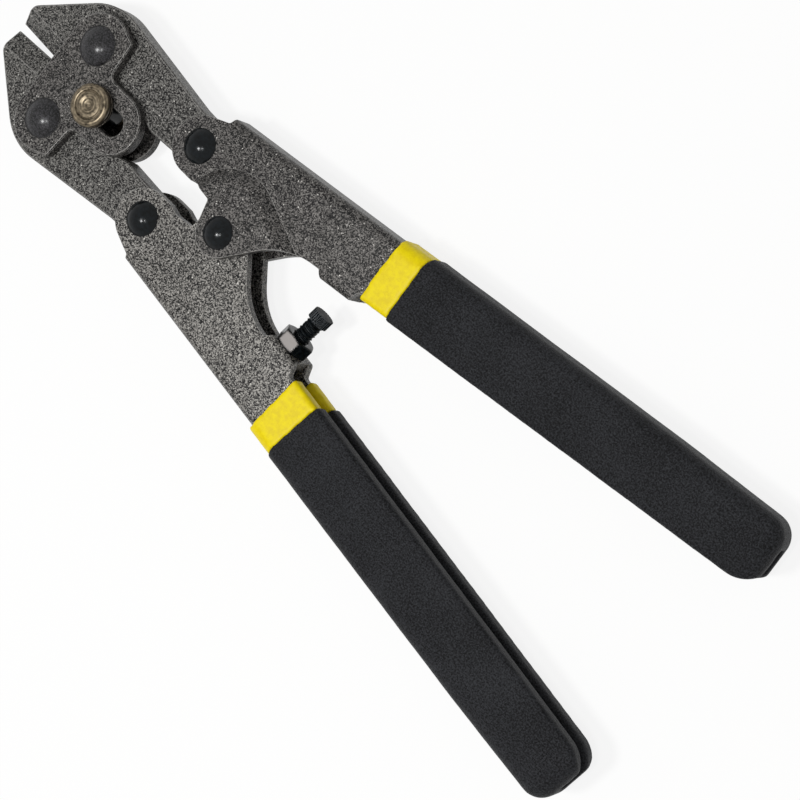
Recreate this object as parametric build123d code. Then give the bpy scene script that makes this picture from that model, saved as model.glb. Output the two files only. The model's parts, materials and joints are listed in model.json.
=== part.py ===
from build123d import *
import math
import os

# Small compound-action hook cutter, modelled in millimetres.
# It lies flat: +X runs from the jaws to the grips, +Y to the upper handle, +Z up through the thickness.
# While it is built, the origin is midway between the two jaw pivots, at mid thickness.
# At the end everything moves so that the origin is the bottom centre of the bounding box.

# Clearances
face_gap = 0.1            # between flat faces that slide on each other
ear_gap = 0.2             # between a jaw's tail and the handle's ears on each side of it
pivot_gap = 0.06          # radial, between a rivet and what turns on it
seat_gap = 0.02           # radial, between a rivet and what it is fast in
open_pivot_gap = 0.30     # radial, at the centre pivot, in the lower handle
washer_gap = 0.05         # under the sliding washers
edge_gap = 0.02           # between the two cutting edges when closed

# Pivots, at the drawn rest pose
pivot_half_spacing = 10.0         # of the jaw pivots, across the tool
link_x = 34.0                     # link pivots, along the tool
link_y = 10.0                     # link pivots, across the tool
centre_x = 50.9                   # centre pivot of the handles
handle_angle = 6.9                # each handle to the tool axis, degrees
jaw_rest_opening = 2.7            # each jaw, from closed to the rest pose, degrees

# Jaws
jaw_thickness = 5.0
jaw_tip_x = -20.4                 # tip of the cutting edge with the jaws closed
jaw_root_x = -6.6                 # inner end of the cutting edge
nose_x = -20.5
nose_outer_y = 6.0
nose_radius = 2.2
shoulder_x = -3.9
shoulder_y = 19.8
shoulder_radius = 14.0
neck_x = 27.0                     # slight bend in the outer edge, ahead of the tail
neck_y = 15.5
neck_radius = 10.0
tail_radius = 5.2
tail_inner_x = 21.5               # where the inner edge of the tail starts
tail_inner_y = 4.1
tail_inner_radius = 3.0
pocket_front_x = 4.4              # pocket that clears the guide bush
pocket_back_x = 17.5
pocket_y = 5.2
pocket_front_radius = 1.2
pocket_back_radius = 2.0
throat_x = 2.6
throat_y = 2.4
throat_corner_radius = 0.8
bevel_width = 4.2                 # of the ground bevel, across the jaw
bevel_land = 0.25                 # half thickness left at the cutting edge
bevel_end_x = -5.0
jaw_edge_chamfer = 0.3

# Side plates
plate_thickness = 2.4
plate_round = 7.4                 # of each end, round its pivot
plate_corner_x = 6.5
plate_corner_y = 15.5
plate_corner_radius = 0.8
tongue_half_width = 6.9
tongue_centre_x = 14.4
tongue_root_x = 7.2
tongue_root_radius = 1.8
slot_front_x = 8.6
slot_width = 5.4
plate_edge_chamfer = 0.3

# Rivets: shank diameter, head diameter, head height
jaw_rivet = (6.0, 9.0, 2.1)
link_rivet = (5.0, 7.7, 1.9)
centre_rivet = (4.6, 7.1, 1.7)
centre_bush_diameter = 7.4

# Guide bolt
guide_play = 0.1                  # radial, of the shank in the slot
guide_rim_round = 0.35
guide_bush_diameter = 6.0
guide_head_diameter = 9.4
guide_head_height = 1.5
guide_boss_diameter = 5.6
guide_groove_width = 0.35
guide_groove_depth = 0.4
guide_dimple_diameter = 2.6
guide_washer_diameter = 9.4
spring_washer_diameter = 9.0
washer_thickness = 0.6
guide_nut_flats = 8.0
guide_nut_height = 2.3
nut_chamfer = 0.35
guide_thread_end = 0.4

# Handles, in each handle's own frame: u along it from the centre pivot, v outward
sheet = 2.0                       # thickness of the pressed sheet
ear_radius = 6.6
crease_edge_x = 37.4              # end of the ear's inner edge, along the tool
crease_edge_y = 3.4
lobe_edge_x = 39.8                # start of the lobe's front edge, drawn in a little
lobe_edge_y = 4.1
front_edge_x = 44.3               # front corner of the lobe, along the tool
front_edge_y = 3.6
upper_lobe_radius = 5.3
lower_lobe_radius = 6.2
upper_throat_u = 14.5             # where the two straight edges behind the lobe would meet
lower_throat_u = 16.1
throat_v = 6.4
throat_radius = 16.4
throat_end_u = 22.8
web_start = -12.4                 # front end of the web
web_start_v = 20.95
web_bend_u = 104.0                # slight bend of the web toward its end
web_bend_v = 20.5
web_bend_radius = 70.0
notch_x = 36.3                    # where the ear meets the web, along the tool
notch_y = 18.0
sharp_corner_radius = 0.6         # of the notch and of the lobe's front corner
easy_corner_radius = 1.0          # of the corners between the ear and the lobe
web_end_v = 19.9
tab_v = 4.8                       # inner face of the folded tab
tab_start = 23.8
tab_end = 31.6
tab_gap = 0.15                    # between the tab's edge and the far flange
tab_end_gap = 0.15                # of the tab, short of each end of its flange
tab_fold_radius = 1.5
tab_front_radius = 0.4            # of the inner edge's corners ahead of the tab
tab_back_radius = 0.8             # and behind it
grip_flange_u = 33.0
grip_flange_v = 7.45              # inner edge of the flange where the grip starts
grip_flange_end_v = 8.55
end_u = 130.85                    # outer corner of the handle's end
end_inner_u = 130.65
end_outer_radius = 3.4
end_inner_radius = 5.6
web_wrap_v = 17.4                 # the web wraps round the end down to here
bend_radius = 2.2
far = 60.0                        # beyond any edge, for cutting shapes
web_spare = 4.0                   # overlength of the flanges before the web trims them
near = 0.001                      # how closely an edge is told by its place

# Raised lobe of the upper handle
lobe_centre_u = -0.7
lobe_centre_v = 2.0
lobe_crease_radius = 11.7
lobe_crease_slope = 27.9          # fall of the straight crease, degrees
ramp_angle = 38.0                 # of the step in the sheet, degrees
ramp_round = 2.5

# Dipped grips
dip_thickness = 1.25
band_thickness = 0.9
band_start = 35.1
band_length = 7.8
lip_round = 1.1

# Stop screw and its lock nut, on the lower handle
screw_u = 27.0
screw_diameter = 3.9
screw_play = 0.1
screw_head_diameter = 4.9
screw_head_height = 2.3
screw_head_round = 0.3
screw_head_v = -5.3               # end of the head
screw_tail_v = 12.0
screw_nut_flats = 7.0
screw_nut_height = 3.2

# Values that follow
jaw_top = jaw_thickness / 2
plate_inner = jaw_top + face_gap
plate_top = plate_inner + plate_thickness
flange_inner = jaw_top + ear_gap
flange_top = flange_inner + sheet
lobe_inner = flange_top + face_gap
lobe_top = lobe_inner + sheet
lobe_rise = lobe_top - flange_top
guide_shank = slot_width - 2 * guide_play


def turned(x, y, degrees, cx=0.0, cy=0.0):
    """A point turned about a centre."""
    a = math.radians(degrees)
    dx = x - cx
    dy = y - cy
    return (cx + dx * math.cos(a) - dy * math.sin(a), cy + dx * math.sin(a) + dy * math.cos(a))


def on_circle(cx, cy, r, degrees):
    a = math.radians(degrees)
    return (cx + r * math.cos(a), cy + r * math.sin(a))


def tangent_angle(cx, cy, r, px, py, side):
    """Angle on a circle where the line from a point touches it, on the side +1 or -1."""
    reach = math.hypot(px - cx, py - cy)
    toward = math.degrees(math.atan2(py - cy, px - cx))
    return toward + side * math.degrees(math.acos(r / reach))


def corner(x, y, r=0.0):
    return ("corner", x, y, r)


def bow(cx, cy, r, start, end):
    return ("bow", cx, cy, r, start, end)


def step_ends(step):
    """First and last point of a step, before its corner is rounded."""
    if step[0] == "corner":
        return (step[1], step[2]), (step[1], step[2])
    cx, cy, r, start, end = step[1:]
    return on_circle(cx, cy, r, start), on_circle(cx, cy, r, end)


def outline(*steps):
    """A closed face from corners, each with its radius, and arcs, joined by straight lines."""
    runs = []
    for i, step in enumerate(steps):
        if step[0] == "bow":
            cx, cy, r, start, end = step[1:]
            first, last = step_ends(step)
            middle = on_circle(cx, cy, r, (start + end) / 2)
            runs.append((first, middle, last))
            continue
        x, y, r = step[1:]
        before = step_ends(steps[i - 1])[1]
        after = step_ends(steps[(i + 1) % len(steps)])[0]
        if r == 0:
            runs.append(((x, y), None, (x, y)))
            continue
        a = Vector(before[0] - x, before[1] - y).normalized()
        b = Vector(after[0] - x, after[1] - y).normalized()
        half = math.acos(max(-1.0, min(1.0, a.dot(b)))) / 2
        back = r / math.tan(half)
        reach = r / math.sin(half) - r
        bisector = (a + b).normalized()
        first = (x + a.X * back, y + a.Y * back)
        last = (x + b.X * back, y + b.Y * back)
        middle = (x + bisector.X * reach, y + bisector.Y * reach)
        runs.append((first, middle, last))
    edges = []
    for i, (first, middle, last) in enumerate(runs):
        if middle is not None:
            edges.append(ThreePointArc(first, middle, last))
        start = runs[(i + 1) % len(runs)][0]
        if math.dist(last, start) > near:
            edges.append(Line(last, start))
    return make_face(Wire(edges))


def slab(face, low, high):
    """A face raised into a flat piece between two heights."""
    return extrude(Pos(0, 0, low) * face, high - low)


def rod(diameter, low, high):
    return Pos(0, 0, low) * Cylinder(diameter / 2, high - low, align=(Align.CENTER, Align.CENTER, Align.MIN))


def hexagon(flats, low, high):
    return slab(RegularPolygon(flats / 2, 6, major_radius=False), low, high)


def domed_rivet(sizes, half_grip):
    """A rivet along Z with a low dome at each end of its shank."""
    shank, head, height = sizes
    cap_radius = (head * head / 4 + height * height) / (2 * height)
    cap = Pos(0, 0, half_grip + height - cap_radius) * Sphere(cap_radius)
    cap &= rod(head, half_grip, half_grip + height)
    return rod(shank, -half_grip, half_grip) + cap + mirror(cap, about=Plane.XY)


def flat_edges(part, height):
    """Edges that lie in the two flat faces at plus and minus a height."""
    def lies_flat(edge):
        box = edge.bounding_box()
        return abs(abs(box.min.Z) - height) < near and abs(box.max.Z - box.min.Z) < near
    return [edge for edge in part.edges() if lies_flat(edge)]


# Side plates
def side_plate_face():
    rear = (plate_corner_x, plate_corner_y - pivot_half_spacing)
    touch = tangent_angle(0, 0, plate_round, *rear, 1)
    shape = outline(
        bow(0, -pivot_half_spacing, plate_round, 180, 360 - touch),
        corner(plate_corner_x, -plate_corner_y, plate_corner_radius),
        corner(tongue_root_x, -tongue_half_width, tongue_root_radius),
        bow(tongue_centre_x, 0, tongue_half_width, -90, 90),
        corner(tongue_root_x, tongue_half_width, tongue_root_radius),
        corner(plate_corner_x, plate_corner_y, plate_corner_radius),
        bow(0, pivot_half_spacing, plate_round, touch, 180),
    )
    slot_length = tongue_centre_x - slot_front_x
    shape -= Pos((tongue_centre_x + slot_front_x) / 2, 0) * SlotCenterToCenter(slot_length, slot_width)
    for side in (1, -1):
        shape -= Pos(0, side * pivot_half_spacing) * Circle(jaw_rivet[0] / 2 + seat_gap)
    return shape


def side_plate():
    plate = slab(side_plate_face(), plate_inner, plate_top)
    return chamfer(flat_edges(plate, plate_top), plate_edge_chamfer)


# Jaws
def jaw_outline():
    """The upper jaw at rest: the closed cutting edge, opened about its pivot."""
    tip = turned(jaw_tip_x, edge_gap / 2, -jaw_rest_opening, 0, pivot_half_spacing)
    root = turned(jaw_root_x, edge_gap / 2, -jaw_rest_opening, 0, pivot_half_spacing)
    outer = tangent_angle(link_x, link_y, tail_radius, neck_x, neck_y, -1)
    return outline(
        corner(*tip),
        corner(*root, throat_corner_radius),
        corner(throat_x, throat_y, throat_corner_radius),
        corner(pocket_front_x, pocket_y, pocket_front_radius),
        corner(pocket_back_x, pocket_y, pocket_back_radius),
        corner(tail_inner_x, tail_inner_y, tail_inner_radius),
        bow(link_x, link_y, tail_radius, -90, outer),
        corner(neck_x, neck_y, neck_radius),
        corner(shoulder_x, shoulder_y, shoulder_radius),
        corner(nose_x, nose_outer_y, nose_radius),
    )


def bevel_cutter():
    """The wedge that one ground bevel removes above the closed cutting edge."""
    slope = (jaw_top - bevel_land) / (bevel_width - edge_gap / 2)
    below = 2.0
    above = 3.0
    wedge = Polyline(
        (edge_gap / 2 - below, bevel_land - below * slope),
        (edge_gap / 2 - below, jaw_top + above),
        (bevel_width + above / slope, jaw_top + above),
        close=True,
    )
    face = Plane.YZ * make_face(wedge)
    start = jaw_tip_x - above
    cutter = extrude(Pos(start, 0, 0) * face, bevel_end_x - start)
    opened = Pos(0, pivot_half_spacing) * Rot(0, 0, -jaw_rest_opening) * Pos(0, -pivot_half_spacing)
    return opened * cutter


def jaw():
    body = slab(jaw_outline(), -jaw_top, jaw_top)
    body = chamfer(flat_edges(body, jaw_top), jaw_edge_chamfer)
    wedge = bevel_cutter()
    body -= wedge
    body -= mirror(wedge, about=Plane.XY)
    body -= Pos(0, pivot_half_spacing) * rod(jaw_rivet[0] + 2 * pivot_gap, -far, far)
    body -= Pos(link_x, link_y) * rod(link_rivet[0] + 2 * pivot_gap, -far, far)
    return body


# Handles
def to_handle(x, y):
    """A point on the tool in the upper handle's own frame."""
    return turned(x - centre_x, y, -handle_angle)


def flange_outline(upper):
    """Both flanges of a handle, seen square on, running on past the web, which trims them."""
    ear_u, ear_v = to_handle(link_x, link_y)
    crease_edge = to_handle(crease_edge_x, crease_edge_y)
    lobe_edge = to_handle(lobe_edge_x, lobe_edge_y)
    front = to_handle(front_edge_x, front_edge_y)
    notch = to_handle(notch_x, notch_y)
    lobe_radius = upper_lobe_radius if upper else lower_lobe_radius
    throat_u = upper_throat_u if upper else lower_throat_u
    ear_front = tangent_angle(ear_u, ear_v, ear_radius, *notch, 1)
    ear_inner = tangent_angle(ear_u, ear_v, ear_radius, *crease_edge, -1)
    lobe_front = tangent_angle(0, 0, lobe_radius, *front, 1)
    lobe_back = tangent_angle(0, 0, lobe_radius, throat_u, throat_v, -1)
    return outline(
        corner(web_start, web_start_v + web_spare),
        corner(*notch, sharp_corner_radius),
        bow(ear_u, ear_v, ear_radius, ear_front, ear_inner + 360),
        corner(*crease_edge, easy_corner_radius),
        corner(*lobe_edge, easy_corner_radius),
        corner(*front, sharp_corner_radius),
        bow(0, 0, lobe_radius, lobe_front, lobe_back + 360),
        corner(throat_u, throat_v, throat_radius),
        corner(throat_end_u, throat_v, tab_front_radius),
        corner(tab_start, tab_v, tab_front_radius),
        corner(tab_end, tab_v, tab_back_radius),
        corner(grip_flange_u, grip_flange_v, tab_back_radius),
        corner(end_inner_u, grip_flange_end_v, end_inner_radius),
        corner(end_u + web_spare, web_start_v + web_spare),
    )


def web_face(inset=0.0):
    """Everything on the inner side of the web and of the end, drawn in by a distance."""
    slope = (web_start_v - web_bend_v) / (web_bend_u - web_start)
    slant = (end_u - end_inner_u) / (web_end_v - grip_flange_end_v)
    face = outline(
        corner(-far, -far),
        corner(end_u - slant * (web_end_v + far), -far),
        corner(end_u, web_end_v, end_outer_radius),
        corner(web_bend_u, web_bend_v, web_bend_radius),
        corner(-far, web_bend_v + slope * (web_bend_u + far)),
    )
    return offset(face, -inset) if inset else face


def web_block(thickness, half_height, round_radius):
    """The web side of a handle as a block, grown by a thickness, with its two long edges bent round."""
    block = slab(web_face(-thickness), -half_height, half_height)

    def on_web(edge):
        middle = edge @ 0.5
        return middle.X > -far and middle.Y > -far + 1

    return fillet([edge for edge in flat_edges(block, half_height) if on_web(edge)], round_radius)


def channel_space(thickness):
    """The space inside the channel, open along the inner side, at the end and at the front."""
    mouth_v = web_wrap_v - thickness
    space = web_face(sheet + thickness)
    space += Pos(0, mouth_v) * Rectangle(6 * far, far, align=(Align.CENTER, Align.MAX))
    space += Pos(web_start, 0) * Rectangle(far, 2 * far, align=(Align.MAX, Align.CENTER))
    return space


def raised_face(shrink):
    """The side of the crease that is raised on the upper handle, drawn in by a distance."""
    r = lobe_crease_radius - shrink
    crest = 90 - lobe_crease_slope
    fall = math.tan(math.radians(lobe_crease_slope))
    crest_u, crest_v = on_circle(lobe_centre_u, lobe_centre_v, r, crest)
    return outline(
        corner(lobe_centre_u - r, -far),
        corner(crest_u + (crest_v + far) / fall, -far),
        bow(lobe_centre_u, lobe_centre_v, r, crest, 180),
    )


def raised_block(shrink, low):
    """The raised lobe's sheet from a height up, with its sloped step and the soft top of that step."""
    block = extrude(Pos(0, 0, low) * raised_face(shrink), lobe_rise, taper=90 - ramp_angle)
    top = low + lobe_rise

    def on_crease(edge):
        box = edge.bounding_box()
        return abs(box.min.Z - top) < near and abs(box.max.Z - top) < near and (edge @ 0.5).Y > -far + 1

    return fillet([edge for edge in block.edges() if on_crease(edge)], ramp_round)


def joggle(body):
    """Raise the lobe of both flanges by one sheet, with a sloped step round it."""
    angle = math.radians(ramp_angle)
    shift = (sheet / math.cos(angle) - sheet) / math.tan(angle)
    blank = slab(flange_outline(upper=True), flange_top, lobe_top)
    top = raised_block(0, flange_top) & blank
    under = raised_block(shift, flange_inner)
    for raised, hollow in ((top, under), (mirror(top, about=Plane.XY), mirror(under, about=Plane.XY))):
        body += raised
        body -= hollow
    return body


def folded_tab():
    """A tab bent square across the channel from the front flange, and ending at the far one."""
    middle = (tab_start + tab_end) / 2
    length = tab_end - tab_start - 2 * tab_end_gap
    depth = 2 * flange_inner - tab_gap + sheet
    return Pos(middle, tab_v + sheet / 2, flange_top - depth / 2) * Box(length, sheet, depth)


def on_fold(edge):
    """Whether an edge in the front face lies along the folded tab."""
    middle = edge @ 0.5
    return middle.Z > 0 and abs(middle.Y - tab_v) < near and tab_start < middle.X < tab_end


def handle_channel(upper):
    """The pressed U-section of a handle, in its own frame."""
    body = slab(flange_outline(upper), -flange_top, flange_top) & web_block(0, flange_top, bend_radius)
    body -= slab(channel_space(0), -flange_inner, flange_inner)
    body += folded_tab()
    fold = [edge for edge in flat_edges(body, flange_top) if on_fold(edge)]
    body = fillet(fold, tab_fold_radius)
    if upper:
        body = joggle(body)
    else:
        hole = rod(screw_diameter + 2 * screw_play, -far, far)
        body -= Pos(screw_u, tab_v + sheet / 2, 0) * (Rot(90, 0, 0) * hole & Box(far, 3 * sheet, far))
    ear_u, ear_v = to_handle(link_x, link_y)
    body -= Pos(ear_u, ear_v) * rod(link_rivet[0] + 2 * seat_gap, -far, far)
    pivot = seat_gap if upper else open_pivot_gap
    body -= rod(centre_rivet[0] + 2 * pivot, -far, far)
    return body


# Dipped grips and bands, in a handle's own frame
def dipped(channel, upper, thickness, start, end):
    """A skin over the channel between two stations, open along the inner side as the channel is."""
    top = flange_top + thickness
    stretch = Pos(start, 0) * Rectangle(end - start, 2 * far, align=(Align.MIN, Align.CENTER))
    face = offset(flange_outline(upper), thickness) & stretch
    lip = slab(face, flange_inner - thickness, top)

    def is_rim(edge):
        box = edge.bounding_box()
        at_cut = min(abs((edge @ 0.5).X - start), abs((edge @ 0.5).X - end)) < near
        return not at_cut and abs(box.max.Z - box.min.Z) < near

    lip = fillet([edge for edge in lip.edges() if is_rim(edge)], lip_round)
    skin = slab(face - channel_space(thickness), -top, top) + lip + mirror(lip, about=Plane.XY)
    skin &= web_block(thickness, top, bend_radius + thickness)
    return skin - channel


# Fasteners
def bush(outer, bore, half_length):
    return rod(outer, -half_length, half_length) - rod(bore, -far, far)


def washer(outer, bore, low):
    return rod(outer, low, low + washer_thickness) - rod(bore, -far, far)


def guide_bolt(head_seat, thread_end):
    """Shank and flanged round head, turned with a groove, a boss and a dimple."""
    top = head_seat + guide_head_height
    head = rod(guide_head_diameter, head_seat, top)
    rims = [edge for edge in head.edges() if edge.geom_type == GeomType.CIRCLE]
    head = fillet(rims, guide_rim_round)
    groove = rod(guide_boss_diameter + 2 * guide_groove_width, top - guide_groove_depth, far)
    groove -= rod(guide_boss_diameter, -far, far)
    dimple = Pos(0, 0, top) * Sphere(guide_dimple_diameter / 2)
    return head - groove - dimple + rod(guide_shank, thread_end, head_seat)


def hex_nut(flats, bore, low, high):
    """A nut with both ends chamfered to a cone."""
    nut = hexagon(flats, low, high)
    across = flats / math.cos(math.radians(30))
    blank = rod(across, low, high)
    rims = [edge for edge in blank.edges() if edge.geom_type == GeomType.CIRCLE]
    blank = chamfer(rims, nut_chamfer, 2 * nut_chamfer)
    return (nut & blank) - rod(bore, -far, far)


def stop_screw():
    """Along +Z, which points to the head and is minus v once the screw is in its handle."""
    head = rod(screw_head_diameter, -screw_head_v - screw_head_height, -screw_head_v)
    rims = [edge for edge in head.edges() if edge.geom_type == GeomType.CIRCLE]
    head = fillet(rims, screw_head_round)
    return head + rod(screw_diameter, -screw_tail_v, -screw_head_v - screw_head_height)


def make_parts():
    parts = {}

    # head
    plate = side_plate()
    parts["front_side_plate"] = plate
    parts["back_side_plate"] = mirror(plate, about=Plane.XY)
    rivet = domed_rivet(jaw_rivet, plate_top)
    parts["upper_jaw_rivet"] = Pos(0, pivot_half_spacing) * rivet
    parts["lower_jaw_rivet"] = Pos(0, -pivot_half_spacing) * rivet

    # jaws
    upper_jaw = jaw()
    parts["upper_jaw"] = upper_jaw
    parts["lower_jaw"] = mirror(upper_jaw, about=Plane.XZ)

    # guide bolt, with its washers, bush and nut, at the front of the slot
    guide = Pos(slot_front_x, 0)
    shank_bore = guide_shank + 2 * seat_gap
    front_seat = plate_top + washer_gap
    head_seat = front_seat + 2 * washer_thickness
    back_seat = -plate_top - washer_gap - washer_thickness
    nut_end = back_seat - guide_nut_height
    parts["guide_bolt"] = guide * guide_bolt(head_seat, nut_end - guide_thread_end)
    parts["guide_washer"] = guide * washer(guide_washer_diameter, shank_bore, front_seat)
    parts["spring_washer"] = guide * washer(spring_washer_diameter, shank_bore, front_seat + washer_thickness)
    parts["guide_bush"] = guide * bush(guide_bush_diameter, shank_bore, jaw_top)
    parts["back_washer"] = guide * washer(guide_washer_diameter, shank_bore, back_seat)
    parts["guide_nut"] = guide * hex_nut(guide_nut_flats, shank_bore, nut_end, back_seat)

    # handles, in pairs
    placed = Pos(centre_x, 0) * Rot(0, 0, handle_angle)
    band_end = band_start + band_length
    ear = Pos(*to_handle(link_x, link_y))
    for side in ("upper", "lower"):
        is_upper = side == "upper"
        channel = handle_channel(is_upper)
        own = {
            side + "_handle": channel,
            side + "_band": dipped(channel, is_upper, band_thickness, band_start, band_end),
            side + "_grip": dipped(channel, is_upper, dip_thickness, band_end, 3 * far),
            side + "_link_rivet": ear * domed_rivet(link_rivet, flange_top),
        }
        for name, part in own.items():
            part = placed * part
            parts[name] = part if is_upper else mirror(part, about=Plane.XZ)

    # centre pivot, carried by the raised lobes of the upper handle
    centre = Pos(centre_x, 0)
    parts["centre_rivet"] = centre * domed_rivet(centre_rivet, lobe_top)
    parts["centre_bush"] = centre * bush(centre_bush_diameter, centre_rivet[0] + 2 * seat_gap, jaw_top)

    # stop screw and lock nut, square to the lower handle
    across = placed * Pos(screw_u, 0) * Rot(90, 0, 0)
    nut = hex_nut(screw_nut_flats, screw_diameter + 2 * screw_play, -tab_v, -tab_v + screw_nut_height)
    parts["stop_screw"] = mirror(across * stop_screw(), about=Plane.XZ)
    parts["stop_lock_nut"] = mirror(across * nut, about=Plane.XZ)
    return parts


def main():
    os.makedirs("parts", exist_ok=True)
    parts = make_parts()
    boxes = [part.bounding_box() for part in parts.values()]
    middle_x = (min(box.min.X for box in boxes) + max(box.max.X for box in boxes)) / 2
    shift = Pos(-middle_x, 0, -min(box.min.Z for box in boxes))
    print("jaw pivots' midpoint, at mid thickness, is at", shift.position)
    for name, part in parts.items():
        export_step(shift * part, "parts/" + name + ".step")


main()
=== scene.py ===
import json
import math

import bmesh
import bpy
from mathutils import Euler, Matrix, Vector, noise


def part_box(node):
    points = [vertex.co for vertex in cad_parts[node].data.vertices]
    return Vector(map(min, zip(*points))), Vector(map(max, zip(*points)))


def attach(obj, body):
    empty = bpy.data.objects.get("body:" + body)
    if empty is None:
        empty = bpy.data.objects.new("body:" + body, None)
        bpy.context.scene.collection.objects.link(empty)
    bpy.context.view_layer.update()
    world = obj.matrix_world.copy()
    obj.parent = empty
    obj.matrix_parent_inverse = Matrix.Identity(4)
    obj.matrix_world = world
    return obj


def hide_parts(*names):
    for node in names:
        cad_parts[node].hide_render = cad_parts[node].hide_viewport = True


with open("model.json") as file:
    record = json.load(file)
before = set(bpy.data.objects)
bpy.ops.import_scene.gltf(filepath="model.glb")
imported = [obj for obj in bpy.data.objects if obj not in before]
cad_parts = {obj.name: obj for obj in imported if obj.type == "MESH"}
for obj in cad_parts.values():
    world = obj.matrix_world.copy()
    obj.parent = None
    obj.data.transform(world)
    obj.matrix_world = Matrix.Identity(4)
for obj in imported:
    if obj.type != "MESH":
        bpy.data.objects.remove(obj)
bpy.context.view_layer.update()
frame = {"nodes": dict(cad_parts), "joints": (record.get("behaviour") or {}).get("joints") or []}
nodes = frame["nodes"]
joints = {joint["name"]: joint for joint in frame["joints"]}
mm = 0.001

# small helpers


def linearColour(hexText):
    channels = []
    for start in (0, 2, 4):
        value = int(hexText[start:start + 2], 16) / 255
        channels.append(value / 12.92 if value <= 0.04045 else ((value + 0.055) / 1.055) ** 2.4)
    return (*channels, 1.0)


def addNode(tree, kind, values=None, links=None, **settings):
    node = tree.nodes.new(kind)
    for name, value in settings.items():
        setattr(node, name, value)
    for name, value in (values or {}).items():
        node.inputs[name].default_value = value
    for name, source in (links or {}).items():
        tree.links.new(source, node.inputs[name])
    node.location = (220 * (len(tree.nodes) % 8), -260 * (len(tree.nodes) // 8))
    return node


def newMaterial(name):
    material = bpy.data.materials.new(name)
    material.use_nodes = True
    material.node_tree.nodes.clear()
    return material, material.node_tree


def perMillimetre(size):
    return 1 / (size * mm)                    # texture scale for a grain of that size


def darkToLight(tree, shade, look):
    # the finish's own colour, which runs from dark to light over its shades
    node = addNode(tree, "ShaderNodeValToRGB", links={"Fac": shade})
    first, last = node.color_ramp.elements
    first.position, last.position = look["low"], look["high"]
    first.color, last.color = linearColour(look["dark"]), linearColour(look["light"])
    return node.outputs["Color"]


def fromTo(low, high, newLow, newHigh):
    return {"From Min": low, "From Max": high, "To Min": newLow, "To Max": newHigh}


def weighted(tree, *shares):
    # the sum of each pattern times its share
    total = None
    for pattern, share in shares:
        links = {0: pattern} if total is None else {0: pattern, 2: total}
        total = addNode(tree, "ShaderNodeMath", {1: share, 2: 0.0}, links, operation="MULTIPLY_ADD").outputs[0]
    return total


noiseLow, noiseHigh = 0.3, 0.7    # a noise texture's values rarely leave this range

edgeRule = {
    "begin": 0.995,    # likeness of the rounded normal to the face's own at which edge wear and painted highlight begin
    "full": 0.90,
    "steep": 0.1,      # squared upright part of the normal: neither edge wear nor painted highlight on faces steeper than this
    "broad": 0.5,
}


def edgeMask(tree, soft, amount, begin=edgeRule["begin"], full=edgeRule["full"]):
    # above 0 where the rounded normal leaves the face's own, which is along the edges of the broad faces; the
    # lighter rim there is partly edge wear and partly a painted highlight
    normal = addNode(tree, "ShaderNodeNewGeometry").outputs["Normal"]
    alike = addNode(tree, "ShaderNodeVectorMath", links={0: soft, 1: normal}, operation="DOT_PRODUCT")
    rampRange = fromTo(begin, full, 0.0, amount)
    edge = addNode(tree, "ShaderNodeMapRange", rampRange, {"Value": alike.outputs["Value"]}).outputs[0]
    upright = addNode(tree, "ShaderNodeSeparateXYZ", links={"Vector": normal}).outputs["Z"]
    squared = addNode(tree, "ShaderNodeMath", links={0: upright, 1: upright}, operation="MULTIPLY").outputs[0]
    lying = fromTo(edgeRule["steep"], edgeRule["broad"], 0.0, 1.0)
    broad = addNode(tree, "ShaderNodeMapRange", lying, {"Value": squared}).outputs[0]
    return addNode(tree, "ShaderNodeMath", links={0: edge, 1: broad}, operation="MULTIPLY").outputs[0]


def finishWith(material, tree, values, links):
    shader = addNode(tree, "ShaderNodeBsdfPrincipled", values, links)
    addNode(tree, "ShaderNodeOutputMaterial", links={"Surface": shader.outputs["BSDF"]})
    return material


# powder coat: matt metallic paint, baked on, which looks finely grained, with bright flakes in it whose
# brightness is partly a painted glint

coatLook = {
    "dark": "040404",
    "light": "9a9792",
    # light colour along edges: partly worn paint, partly a painted highlight
    "edge": "c4c2be",
    "paintedGlintFlakes": "cfccc6",
    "grain": 0.22,         # mm, coarser than the real grain so that it shows
    "pebble": 0.40,        # mm
    "cloud": 9.0,          # mm
    "grainShare": 0.78,    # of each pattern in the shade
    "pebbleShare": 0.22,
    "cloudShare": 0.16,
    "low": 0.45,           # shade at which the paint is darkest
    "high": 0.96,
    "flakeShare": 0.010,
    "metallic": 0.20,
    "rough": 0.42,
    "bump": 0.034,         # mm
    "edgeRadius": 0.22,    # mm
    "edgeWear": 0.75,
    "edgeBegin": edgeRule["begin"],
    "edgeFull": edgeRule["full"],
    "shine": 0.14,
    "lacquer": 0.12,       # the paint's own gloss, which catches the light along edges
    "lacquerRough": 0.24,
}


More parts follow.
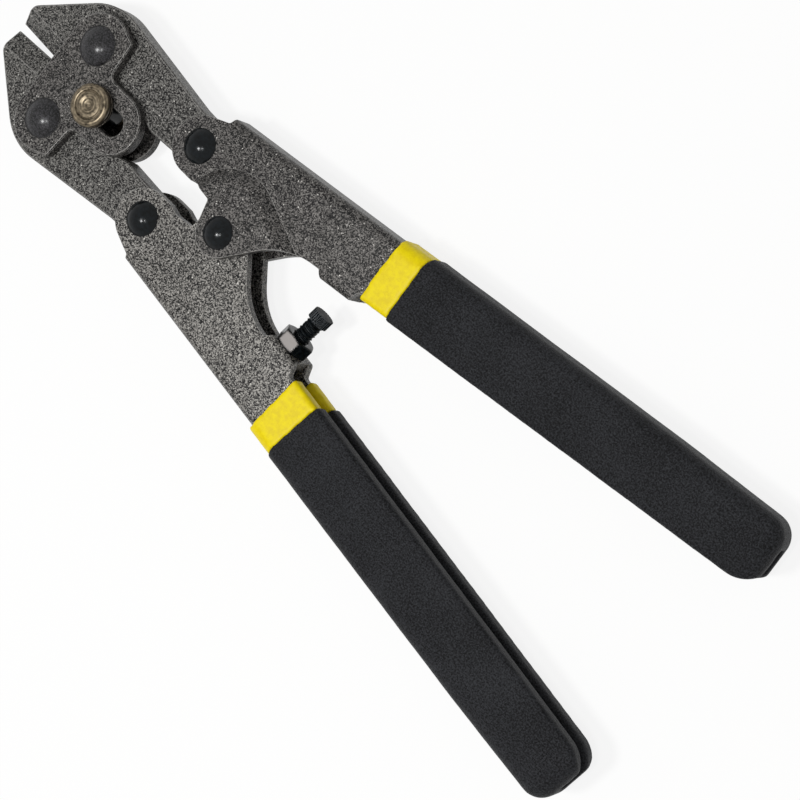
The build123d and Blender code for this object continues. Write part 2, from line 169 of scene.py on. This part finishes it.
def powderCoat(name, look):
    material, tree = newMaterial(name)
    place = addNode(tree, "ShaderNodeTexCoord").outputs["Object"]
    grains = {"Scale": perMillimetre(look["grain"])}
    cells = addNode(tree, "ShaderNodeTexVoronoi", grains, {"Vector": place}).outputs["Color"]
    grain = addNode(tree, "ShaderNodeSeparateColor", links={"Color": cells}).outputs
    pebbles = {"Scale": perMillimetre(look["pebble"])}
    pebble = addNode(tree, "ShaderNodeTexNoise", pebbles, {"Vector": place}).outputs[0]
    clouds = {"Scale": perMillimetre(look["cloud"]), "Detail": 3.0}
    cloud = addNode(tree, "ShaderNodeTexNoise", clouds, {"Vector": place}).outputs[0]
    shade = weighted(tree, (grain[0], look["grainShare"]), (pebble, look["pebbleShare"]),
                     (cloud, look["cloudShare"]))
    coat = darkToLight(tree, shade, look)
    # bright flakes: real flakes in the paint, their light colour partly a painted glint
    isFlake = addNode(tree, "ShaderNodeMath", {1: 1 - look["flakeShare"]}, {0: grain[1]},
                      operation="GREATER_THAN").outputs[0]
    paintedGlintFlakes = addNode(tree, "ShaderNodeMath", links={0: isFlake, 1: grain[2]}, operation="MULTIPLY").outputs[0]
    # in a Mix of colours, socket 0 is the amount and sockets 6 and 7 are the colours
    speckled = addNode(tree, "ShaderNodeMix", {7: linearColour(look["paintedGlintFlakes"])}, {0: paintedGlintFlakes, 6: coat},
                       data_type="RGBA").outputs[2]
    soft = addNode(tree, "ShaderNodeBevel", {"Radius": look["edgeRadius"] * mm}, samples=6).outputs[0]
    # lighter edges: partly paint worn thin, partly a painted highlight along the edges
    highlightAndWearOnRim = edgeMask(tree, soft, look["edgeWear"], look["edgeBegin"], look["edgeFull"])
    colour = addNode(tree, "ShaderNodeMix", {7: linearColour(look["edge"])}, {0: highlightAndWearOnRim, 6: speckled},
                     data_type="RGBA").outputs[2]
    bump = addNode(tree, "ShaderNodeBump", {"Strength": 1.0, "Distance": look["bump"] * mm},
                   {"Height": shade, "Normal": soft}).outputs[0]
    values = {"Metallic": look["metallic"], "Roughness": look["rough"], "Specular IOR Level": look["shine"],
              "Coat Weight": look["lacquer"], "Coat Roughness": look["lacquerRough"]}
    return finishWith(material, tree, values, {"Base Color": colour, "Normal": bump, "Coat Normal": soft})


# black oxide on steel rivets and screws: near black with a blue cast, oiled, with faint forming marks

oxideLook = {
    "dark": "07090a",
    "light": "12171a",
    # light colour along edges: partly worn steel, partly a painted highlight
    "edge": "24292c",
    "mottle": 0.8,         # mm
    "low": 0.35,           # mottle at which the steel is darkest
    "high": 0.70,
    "scratch": 0.35,       # mm
    "metallic": 0.10,
    "shine": 0.16,
    "edgeWear": 0.5,
    "roughLow": 0.12,
    "roughHigh": 0.20,
    "bump": 0.012,         # mm
    "edgeRadius": 0.15,    # mm
    "paintedReflectionFlat": None,      # direction of a flat given a painted reflection, lighter in colour
    "reflectionColour": "a5a09d",
    "reflectionFrom": 0.990,     # likeness of the normal to that direction
    "reflectionTo": 0.999,
    "reflectionAmount": 0.9,
}


def blackOxide(name, look):
    material, tree = newMaterial(name)
    place = addNode(tree, "ShaderNodeTexCoord").outputs["Object"]
    mottles = {"Scale": perMillimetre(look["mottle"]), "Detail": 4.0}
    mottle = addNode(tree, "ShaderNodeTexNoise", mottles, {"Vector": place}).outputs[0]
    scratches = {"Scale": perMillimetre(look["scratch"])}
    scratch = addNode(tree, "ShaderNodeTexNoise", scratches, {"Vector": place}).outputs[0]
    soft = addNode(tree, "ShaderNodeBevel", {"Radius": look["edgeRadius"] * mm}, samples=4).outputs[0]
    # lighter edges: partly wear, partly a painted highlight
    links = {0: edgeMask(tree, soft, look["edgeWear"]), 6: darkToLight(tree, mottle, look)}
    colour = addNode(tree, "ShaderNodeMix", {7: linearColour(look["edge"])}, links, data_type="RGBA").outputs[2]
    # painted reflection: the flat facing the given direction is lightened
    if look["paintedReflectionFlat"]:
        facing = addNode(tree, "ShaderNodeVectorMath", {1: look["paintedReflectionFlat"]}, {0: soft},
                         operation="DOT_PRODUCT")
        rampRange = fromTo(look["reflectionFrom"], look["reflectionTo"], 0.0, look["reflectionAmount"])
        reflectionShare = addNode(tree, "ShaderNodeMapRange", rampRange, {"Value": facing.outputs["Value"]}).outputs[0]
        colour = addNode(tree, "ShaderNodeMix", {7: linearColour(look["reflectionColour"])}, {0: reflectionShare, 6: colour},
                         data_type="RGBA").outputs[2]
    gloss = fromTo(noiseLow, noiseHigh, look["roughLow"], look["roughHigh"])
    rough = addNode(tree, "ShaderNodeMapRange", gloss, {"Value": mottle}).outputs[0]
    bump = addNode(tree, "ShaderNodeBump", {"Strength": 1.0, "Distance": look["bump"] * mm},
                   {"Height": scratch, "Normal": soft}).outputs[0]
    values = {"Metallic": look["metallic"], "Specular IOR Level": look["shine"]}
    return finishWith(material, tree, values, {"Base Color": colour, "Roughness": rough, "Normal": bump})


# yellow-passivated zinc, turned: dull brass sheen with tool rings

passivatedLook = {
    "dark": "231d16",
    "light": "867a66",
    "ring": 0.62,          # mm between tool rings
    "distortion": 1.0,
    "ringShare": 0.14,
    "mottle": 0.9,         # mm
    "mottleShare": 0.86,
    "low": 0.28,           # shade at which the zinc is darkest
    "high": 0.72,
    "metallic": 0.85,
    "roughLow": 0.26,
    "roughHigh": 0.46,
    "bump": 0.018,         # mm
    "edgeRadius": 0.1,     # mm
}


def passivatedZinc(name, look, centre):
    material, tree = newMaterial(name)
    place = addNode(tree, "ShaderNodeTexCoord").outputs["Object"]
    onCentre = {"Location": (-centre.x, -centre.y, 0)}
    centred = addNode(tree, "ShaderNodeMapping", onCentre, {"Vector": place}).outputs[0]
    ringScale = math.pi / 10 * perMillimetre(look["ring"])    # at scale 1 the rings are pi / 10 apart
    values = {"Scale": ringScale, "Distortion": look["distortion"], "Detail": 2.0}
    rings = addNode(tree, "ShaderNodeTexWave", values, {"Vector": centred}, wave_type="RINGS",
                    rings_direction="Z").outputs["Fac"]
    mottles = {"Scale": perMillimetre(look["mottle"]), "Detail": 4.0}
    mottle = addNode(tree, "ShaderNodeTexNoise", mottles, {"Vector": place}).outputs[0]
    shade = weighted(tree, (mottle, look["mottleShare"]), (rings, look["ringShare"]))
    colour = darkToLight(tree, shade, look)
    gloss = fromTo(noiseLow, noiseHigh, look["roughLow"], look["roughHigh"])
    rough = addNode(tree, "ShaderNodeMapRange", gloss, {"Value": mottle}).outputs[0]
    soft = addNode(tree, "ShaderNodeBevel", {"Radius": look["edgeRadius"] * mm}, samples=4).outputs[0]
    bump = addNode(tree, "ShaderNodeBump", {"Strength": 1.0, "Distance": look["bump"] * mm},
                   {"Height": rings, "Normal": soft}).outputs[0]
    links = {"Base Color": colour, "Roughness": rough, "Normal": bump}
    return finishWith(material, tree, {"Metallic": look["metallic"]}, links)


# dipped vinyl (plastisol): soft PVC with a dry, finely grained skin

vinylSkin = {
    "cloud": 12.0,         # mm
    "cloudShare": 0.14,
    "grainShare": 0.86,
    "low": 0.40,           # shade at which the skin is darkest
    "high": 0.61,
    "roughSpread": 0.08,
}
vinylLooks = {             # grain and bump in mm
    "black": {**vinylSkin, "dark": "030304", "light": "313235",
              "grain": 0.36, "bump": 0.30, "rough": 0.5, "shine": 0.10},
    "yellow": {**vinylSkin, "dark": "dcc400", "light": "e9d400",
               "grain": 1.2, "bump": 0.02, "rough": 0.45, "shine": 0.2},
}


def dippedVinyl(name, look):
    material, tree = newMaterial(name)
    place = addNode(tree, "ShaderNodeTexCoord").outputs["Object"]
    grains = {"Scale": perMillimetre(look["grain"]), "Detail": 3.0, "Roughness": 0.65}
    grain = addNode(tree, "ShaderNodeTexNoise", grains, {"Vector": place}).outputs[0]
    clouds = {"Scale": perMillimetre(look["cloud"])}
    cloud = addNode(tree, "ShaderNodeTexNoise", clouds, {"Vector": place}).outputs[0]
    shade = weighted(tree, (cloud, look["cloudShare"]), (grain, look["grainShare"]))
    colour = darkToLight(tree, shade, look)
    smooth, dry = look["rough"] - look["roughSpread"], look["rough"] + look["roughSpread"]
    gloss = fromTo(noiseLow, noiseHigh, smooth, dry)
    rough = addNode(tree, "ShaderNodeMapRange", gloss, {"Value": grain}).outputs[0]
    bump = addNode(tree, "ShaderNodeBump", {"Strength": 1.0, "Distance": look["bump"] * mm},
                   {"Height": grain}).outputs[0]
    links = {"Base Color": colour, "Roughness": rough, "Normal": bump}
    return finishWith(material, tree, {"Specular IOR Level": look["shine"]}, links)


def dress(node, material):
    mesh = nodes[node].data
    mesh.materials.clear()
    mesh.materials.append(material)


boltLow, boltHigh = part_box("guide_bolt")
boltCentre = (boltLow + boltHigh) / 2
# jaws' and rivets' light rims: partly worn paint, partly a painted highlight
jawCoat = {**coatLook, "light": "85837f", "edge": "8f8d8a", "edgeRadius": 0.3, "edgeBegin": 0.9995,
           "edgeFull": 0.99}
rivetCoat = {**coatLook, "light": "3a393c", "edge": "8d8b88", "flakeShare": 0.0, "bump": 0.03,
             "lacquer": 0.32, "lacquerRough": 0.2}
# screw's and washers' light edges: partly worn steel, partly a painted highlight
screwSteel = {**oxideLook, "shine": 0.05, "roughLow": 0.34, "roughHigh": 0.5, "edge": "8b8f92",
              "edgeRadius": 0.1, "edgeWear": 0.9}
washerSteel = {**oxideLook, "dark": "201d1b", "light": "5c554d", "edge": "a59c90", "metallic": 0.8}
# the nut's upward flat gets a painted reflection
nutSteel = {**oxideLook, "paintedReflectionFlat": (0.0, 0.0, 1.0), "edge": "343231", "shine": 0.12, "edgeRadius": 0.6}
finishes = {
    "coat": powderCoat("powderCoat", coatLook),
    "darkCoat": powderCoat("powderCoatDarker", {**coatLook, "light": "767370"}),
    "jawCoat": powderCoat("powderCoatOnForgedJaw", jawCoat),
    "rivetCoat": powderCoat("powderCoatOnRivet", rivetCoat),
    "oxide": blackOxide("blackOxideSteel", oxideLook),
    "washer": blackOxide("darkSpringSteel", washerSteel),
    "screw": blackOxide("threadedBlackSteel", screwSteel),
    "nut": blackOxide("nutSteelWithPaintedReflection", nutSteel),
    "gold": passivatedZinc("yellowPassivatedZinc", passivatedLook, boltCentre),
    "black": dippedVinyl("blackDippedVinyl", vinylLooks["black"]),
    "yellow": dippedVinyl("yellowDippedVinyl", vinylLooks["yellow"]),
}
dressed = {
    "coat": ("lower_handle",),
    "darkCoat": ("front_side_plate", "back_side_plate", "upper_handle"),
    "rivetCoat": ("upper_jaw_rivet", "lower_jaw_rivet"),
    "jawCoat": ("upper_jaw", "lower_jaw"),
    "oxide": ("upper_link_rivet", "lower_link_rivet", "centre_rivet", "centre_bush", "guide_bush"),
    "screw": ("stop_screw",),
    "washer": ("guide_washer", "spring_washer", "back_washer"),
    "nut": ("stop_lock_nut",),
    "gold": ("guide_bolt", "guide_nut"),
    "black": ("upper_grip", "lower_grip"),
    "yellow": ("upper_band", "lower_band"),
}
for finish, names in dressed.items():
    for name in names:
        dress(name, finishes[finish])
print("finishes on", sum(len(names) for names in dressed.values()), "nodes")

# meshes that take the place of plain nodes


def addPiece(name, mesh, material, body, node):
    mesh.materials.clear()
    mesh.materials.append(material)
    piece = bpy.data.objects.new(name, mesh)
    bpy.context.scene.collection.objects.link(piece)
    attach(piece, body)
    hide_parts(node)
    return piece


def plainMesh(mesh, addModifiers):
    # the mesh with its modifiers worked in
    holder = bpy.data.objects.new("holder", mesh)
    bpy.context.scene.collection.objects.link(holder)
    addModifiers(holder)
    graph = bpy.context.evaluated_depsgraph_get()
    result = bpy.data.meshes.new_from_object(holder.evaluated_get(graph))
    bpy.data.objects.remove(holder)
    bpy.data.meshes.remove(mesh)
    return result


def mergedCopy(node):
    copy = bmesh.new()
    copy.from_mesh(nodes[node].data)
    bmesh.ops.remove_doubles(copy, verts=copy.verts, dist=0.001 * mm)
    mesh = bpy.data.meshes.new("copy")
    copy.to_mesh(mesh)
    copy.free()
    return mesh


# dipped skins: softened all over, slightly uneven, with a wavy dip line and a small bead along it

dipLook = {
    "cell": 0.42,            # mm, of the even mesh
    "softening": 4,          # rounds of smoothing, each by this factor
    "softFactor": 0.5,
    "unevenSize": 7.0,       # mm
    "uneven": 0.05,          # mm
    "waveSize": 5.0,         # mm
    "wave": 0.22,            # mm
    "waveReach": 2.5,        # mm along the handle from the dip line
    "bead": 0.07,            # mm
    "beadReach": 0.9,        # mm
    "handleAngle": 6.9,      # degrees to the tool's axis
    "dipShift": {            # mm along the handle: start inside and outside, end inside and outside, reach
        "upper_band": (-1.1, -0.3, -1.6, -0.9, 7.8),
        "upper_grip": (-1.6, -0.9, 0.0, 0.0, 14.0),
        "lower_band": (-0.3, 0.2, -0.5, -0.8, 7.8),
        "lower_grip": (-0.5, -0.8, 0.0, 0.0, 14.0),
    },
}


def evenAndSoft(holder):
    even = holder.modifiers.new("even", "REMESH")
    even.mode = "VOXEL"
    even.voxel_size = dipLook["cell"] * mm
    even.use_smooth_shade = True
    soft = holder.modifiers.new("soft", "SMOOTH")
    soft.factor = dipLook["softFactor"]
    soft.iterations = dipLook["softening"]


def dippedSkin(node, upper, look):
    mesh = plainMesh(mergedCopy(node), evenAndSoft)
    angle = math.radians(look["handleAngle"] if upper else -look["handleAngle"])
    along = Vector((math.cos(angle), math.sin(angle), 0))
    outward = Vector((-along.y, along.x, 0)) if upper else Vector((along.y, -along.x, 0))
    start = min(vertex.co.dot(along) for vertex in mesh.vertices)
    inner = min(vertex.co.dot(outward) for vertex in mesh.vertices)
    width = max(vertex.co.dot(outward) for vertex in mesh.vertices) - inner
    startInner, startOuter, endInner, endOuter, fade = look["dipShift"][node]
    normals = [vertex.normal.copy() for vertex in mesh.vertices]
    for vertex, normal in zip(mesh.vertices, normals):
        place = vertex.co.copy()
        behind = (place.dot(along) - start) / mm
        rise = noise.noise(place * perMillimetre(look["unevenSize"])) * look["uneven"]
        rise += max(0.0, 1 - behind / look["beadReach"]) * look["bead"]
        out = (place.dot(outward) - inner) / width
        startShift = startInner + (startOuter - startInner) * out
        endShift = endInner + (endOuter - endInner) * out
        shift = startShift + (endShift - startShift) * min(1.0, behind / fade)
        near = max(0.0, 1 - behind / look["waveReach"])
        shift += noise.noise(place * perMillimetre(look["waveSize"])) * look["wave"] * near
        vertex.co += (normal * rise + along * shift) * mm
    return mesh


for side in ("upper", "lower"):
    for part, finish in (("band", "yellow"), ("grip", "black")):
        skin = dippedSkin(f"{side}_{part}", side == "upper", dipLook)
        addPiece(f"{side}_{part}_skin", skin, finishes[finish], f"handle_{side}", f"{side}_{part}")
print("dipped skins made")

# guide bolt: turned head with rings, groove, boss and dimple, on its shank

boltLook = {
    "turns": 96,
    "headProfile": (         # radius and height over the head's seat, mm
        (4.55, 0.0), (4.70, 0.15), (4.70, 1.05), (4.45, 1.35), (4.10, 1.50), (3.35, 1.50), (3.25, 1.40),
        (3.15, 1.12), (2.90, 1.12), (2.80, 1.42), (2.68, 1.50), (1.75, 1.50), (1.62, 1.38), (1.46, 1.38),
        (1.30, 1.46), (0.95, 1.34), (0.55, 1.10), (0.30, 1.02), (0.0, 1.12)),
    "shankRadius": 2.6,
    "shankEnd": 0.35,        # mm, chamfer at the thread's end
}


def lathe(profile, turns, centre):
    # a closed body from radii and heights, up from the first point on the axis to the last
    mesh = bpy.data.meshes.new("turned")
    build = bmesh.new()
    rings = []
    for radius, height in profile:
        if radius == 0:
            rings.append([build.verts.new((centre.x, centre.y, height))])
            continue
        ring = []
        for i in range(turns):
            angle = 2 * math.pi * i / turns
            across, up = radius * math.cos(angle), radius * math.sin(angle)
            ring.append(build.verts.new((centre.x + across, centre.y + up, height)))
        rings.append(ring)
    for low, high in zip(rings, rings[1:]):
        for i in range(turns):
            j = (i + 1) % turns
            corners = [low[i % len(low)], low[j % len(low)], high[j % len(high)], high[i % len(high)]]
            build.faces.new(list(dict.fromkeys(corners)))
    bmesh.ops.recalc_face_normals(build, faces=build.faces)
    for face in build.faces:
        face.smooth = True
    build.to_mesh(mesh)
    build.free()
    return mesh


headHeight = max(height for radius, height in boltLook["headProfile"])
seatZ = boltHigh.z - headHeight * mm
shank = boltLook["shankRadius"] * mm
chamfer = boltLook["shankEnd"] * mm
boltProfile = [(0, boltLow.z), (shank - chamfer, boltLow.z), (shank, boltLow.z + chamfer), (shank, seatZ)]
boltProfile += [(radius * mm, seatZ + height * mm) for radius, height in boltLook["headProfile"]]
addPiece("guide_bolt_turned", lathe(boltProfile, boltLook["turns"], boltCentre), finishes["gold"],
         "guide_slider", "guide_bolt")
print("guide bolt turned")

# stop screw: a threaded shank and a straight-knurled head, from Geometry Nodes

screwLook = {
    "Pitch": 0.75,           # mm
    "Thread Depth": 0.42,    # mm
    "Shank Radius": 1.95,    # mm
    "Head Radius": 2.45,     # mm
    "Head Height": 2.3,      # mm
    "Knurls": 26,
    "Knurl Depth": 0.24,     # mm
}


screwDetail = {"turnSteps": 24, "ridgeCorners": 4, "shankCorners": 40}


def screwTree(material):
    tree = bpy.data.node_groups.new("threadedScrew", "GeometryNodeTree")
    lengths = ("Length", "Pitch", "Thread Depth", "Shank Radius", "Head Radius", "Head Height", "Knurl Depth")
    for name in lengths:
        tree.interface.new_socket(name, in_out="INPUT", socket_type="NodeSocketFloat")
    tree.interface.new_socket("Knurls", in_out="INPUT", socket_type="NodeSocketInt")
    tree.interface.new_socket("Geometry", in_out="OUTPUT", socket_type="NodeSocketGeometry")
    given = addNode(tree, "NodeGroupInput").outputs
    core = addNode(tree, "ShaderNodeMath", links={0: given["Shank Radius"], 1: given["Thread Depth"]},
                   operation="SUBTRACT").outputs[0]
    shank = addNode(tree, "ShaderNodeMath", links={0: given["Length"], 1: given["Head Height"]},
                    operation="SUBTRACT").outputs[0]
    turns = addNode(tree, "ShaderNodeMath", links={0: shank, 1: given["Pitch"]}, operation="DIVIDE").outputs[0]
    helix = addNode(tree, "GeometryNodeCurveSpiral", {"Resolution": screwDetail["turnSteps"]},
                    {"Rotations": turns, "Start Radius": core, "End Radius": core, "Height": shank})
    ridge = addNode(tree, "GeometryNodeCurvePrimitiveCircle", {"Resolution": screwDetail["ridgeCorners"]},
                    {"Radius": given["Thread Depth"]})
    thread = addNode(tree, "GeometryNodeCurveToMesh", {"Fill Caps": True},
                     {"Curve": helix.outputs[0], "Profile Curve": ridge.outputs[0]})
    halfway = addNode(tree, "ShaderNodeMath", {1: 0.5}, {0: shank}, operation="MULTIPLY").outputs[0]
    half = addNode(tree, "ShaderNodeCombineXYZ", links={"Z": halfway}).outputs[0]
    rod = addNode(tree, "GeometryNodeMeshCylinder", {"Vertices": screwDetail["shankCorners"]},
                  {"Radius": core, "Depth": shank}).outputs[0]
    rod = addNode(tree, "GeometryNodeTransform", links={"Geometry": rod, "Translation": half})
    # knurled head: every second corner of a cylinder is pulled in
    around = addNode(tree, "ShaderNodeMath", {1: 2}, {0: given["Knurls"]}, operation="MULTIPLY").outputs[0]
    headSizes = {"Vertices": around, "Radius": given["Head Radius"], "Depth": given["Head Height"]}
    plain = addNode(tree, "GeometryNodeMeshCylinder", {"Side Segments": 1}, headSizes).outputs[0]
    index = addNode(tree, "GeometryNodeInputIndex").outputs[0]
    valley = addNode(tree, "ShaderNodeMath", {1: 2}, {0: index}, operation="MODULO").outputs[0]
    shrink = addNode(tree, "ShaderNodeMath", links={0: given["Knurl Depth"], 1: given["Head Radius"]},
                     operation="DIVIDE").outputs[0]
    inward = addNode(tree, "ShaderNodeMath", links={0: valley, 1: shrink}, operation="MULTIPLY").outputs[0]
    keep = addNode(tree, "ShaderNodeMath", {0: 1.0}, {1: inward}, operation="SUBTRACT").outputs[0]
    grow = addNode(tree, "ShaderNodeCombineXYZ", {"Z": 1.0}, {"X": keep, "Y": keep}).outputs[0]
    place = addNode(tree, "GeometryNodeInputPosition").outputs[0]
    pulled = addNode(tree, "ShaderNodeVectorMath", links={0: place, 1: grow}, operation="MULTIPLY").outputs[0]
    knurled = addNode(tree, "GeometryNodeSetPosition", links={"Geometry": plain, "Position": pulled}).outputs[0]
    middle = addNode(tree, "ShaderNodeMath", {1: 0.5}, {0: given["Head Height"], 2: shank},
                     operation="MULTIPLY_ADD").outputs[0]
    raised = addNode(tree, "ShaderNodeCombineXYZ", links={"Z": middle}).outputs[0]
    head = addNode(tree, "GeometryNodeTransform", links={"Geometry": knurled, "Translation": raised})
    joined = addNode(tree, "GeometryNodeJoinGeometry")
    for piece in (thread, rod, head):
        tree.links.new(piece.outputs[0], joined.inputs[0])
    real = addNode(tree, "GeometryNodeRealizeInstances", links={"Geometry": joined.outputs[0]})
    done = addNode(tree, "GeometryNodeSetMaterial", {"Material": material}, {"Geometry": real.outputs[0]})
    result = addNode(tree, "NodeGroupOutput")
    tree.links.new(done.outputs[0], result.inputs[0])
    return tree


def makeScrew(look, material):
    axis = Vector(joints["stop_screw_adjust"]["axis"]).normalized()
    across = Vector((0, 0, 1)).cross(axis)
    points = [vertex.co for vertex in nodes["stop_screw"].data.vertices]
    low, high = min(point.dot(axis) for point in points), max(point.dot(axis) for point in points)
    sides = [point.dot(across) for point in points]
    heights = [point.z for point in points]
    tail = axis * low + across * (min(sides) + max(sides)) / 2
    tail.z = (min(heights) + max(heights)) / 2
    tree = screwTree(material)
    sizes = {name: value if name == "Knurls" else value * mm for name, value in look.items()}
    sizes["Length"] = high - low

    def addTree(holder):
        threaded = holder.modifiers.new("threaded", "NODES")
        threaded.node_group = tree
        for socket in tree.interface.items_tree:
            if socket.in_out == "INPUT":
                threaded[socket.identifier] = sizes[socket.name]

    mesh = plainMesh(bpy.data.meshes.new("screw"), addTree)
    turn = Matrix((across, axis.cross(across), axis)).transposed().to_4x4()
    mesh.transform(Matrix.Translation(tail) @ turn)
    return mesh


addPiece("stop_screw_threaded", makeScrew(screwLook, finishes["screw"]), finishes["screw"], "stop_adjuster",
         "stop_screw")
print("stop screw made")

# floor, backdrop, lights and camera

studio = {
    "floorSide": 6.0,
    "floorColour": "f4f4f2",
    "floorGlow": 0.86,          # share of the floor's white that shadow doesn't reach
    "worldDiffuse": 0.30,
    "lamps": {                  # direction from the object, distance, size and power
        "keyLight": ((-0.08, -0.24, 0.97), 0.75, 0.12, 3.0),
        "sideLight": ((0.16, -0.06, 0.98), 0.75, 0.08, 1.2),
    },
}
cameraView = {
    "place": (0.158423, 0.096429, 0.398967),
    "turn": (3.1159, 22.8321, 43.2699),    # degrees about X, Y and Z
    "lens": 94.35,
    "sensor": 36.0,
    "clipStart": 0.01,
    "clipEnd": 20.0,
}


def seenDirectly(tree):
    # 1 for what the camera, gloss and glass see, 0 for the light that falls on the object
    ray = addNode(tree, "ShaderNodeLightPath").outputs
    shown = addNode(tree, "ShaderNodeMath", links={0: ray["Is Camera Ray"], 1: ray["Is Glossy Ray"]},
                    operation="MAXIMUM").outputs[0]
    return addNode(tree, "ShaderNodeMath", links={0: shown, 1: ray["Is Transmission Ray"]},
                   operation="MAXIMUM").outputs[0]


def makeFloor(look):
    mesh = bpy.data.meshes.new("floor")
    half = look["floorSide"] / 2
    corners = [(-half, -half, 0), (half, -half, 0), (half, half, 0), (-half, half, 0)]
    mesh.from_pydata(corners, [], [(0, 1, 2, 3)])
    floor = bpy.data.objects.new("floor", mesh)
    bpy.context.scene.collection.objects.link(floor)
    material, tree = newMaterial("paleFloor")
    paper = addNode(tree, "ShaderNodeBsdfDiffuse", {"Color": linearColour(look["floorColour"])})
    white = addNode(tree, "ShaderNodeEmission", {"Color": linearColour("ffffff"), "Strength": 1.0})
    glow = addNode(tree, "ShaderNodeMath", {1: look["floorGlow"]}, {0: seenDirectly(tree)},
                   operation="MULTIPLY").outputs[0]
    mixed = addNode(tree, "ShaderNodeMixShader", links={0: glow, 1: paper.outputs[0], 2: white.outputs[0]})
    addNode(tree, "ShaderNodeOutputMaterial", links={"Surface": mixed.outputs[0]})
    mesh.materials.append(material)


def makeWorld(look):
    world = bpy.data.worlds.new("studio")
    world.use_nodes = True
    tree = world.node_tree
    tree.nodes.clear()
    paper = linearColour("ffffff")
    soft = addNode(tree, "ShaderNodeBackground", {"Color": paper, "Strength": look["worldDiffuse"]})
    white = addNode(tree, "ShaderNodeBackground", {"Color": paper, "Strength": 1.0})
    links = {0: seenDirectly(tree), 1: soft.outputs[0], 2: white.outputs[0]}
    mixed = addNode(tree, "ShaderNodeMixShader", links=links)
    addNode(tree, "ShaderNodeOutputWorld", links={"Surface": mixed.outputs[0]})
    bpy.context.scene.world = world


def makeLamp(name, direction, distance, size, power):
    data = bpy.data.lights.new(name, "AREA")
    data.shape = "DISK"
    data.size = size
    data.energy = power
    lamp = bpy.data.objects.new(name, data)
    lamp.location = Vector(direction) * distance
    lamp.rotation_euler = (-Vector(direction)).to_track_quat("-Z", "Y").to_euler()
    bpy.context.scene.collection.objects.link(lamp)


def makeCamera(look):
    data = bpy.data.cameras.new("camera")
    data.sensor_width = look["sensor"]
    data.lens = look["lens"]
    data.clip_start = look["clipStart"]
    data.clip_end = look["clipEnd"]
    camera = bpy.data.objects.new("camera", data)
    camera.location = look["place"]
    camera.rotation_euler = Euler([math.radians(angle) for angle in look["turn"]], "XYZ")
    bpy.context.scene.collection.objects.link(camera)
    bpy.context.scene.camera = camera


makeFloor(studio)
makeWorld(studio)
for name, lamp in studio["lamps"].items():
    makeLamp(name, *lamp)
makeCamera(cameraView)
bpy.context.scene.view_settings.view_transform = "Standard"
print("studio ready")
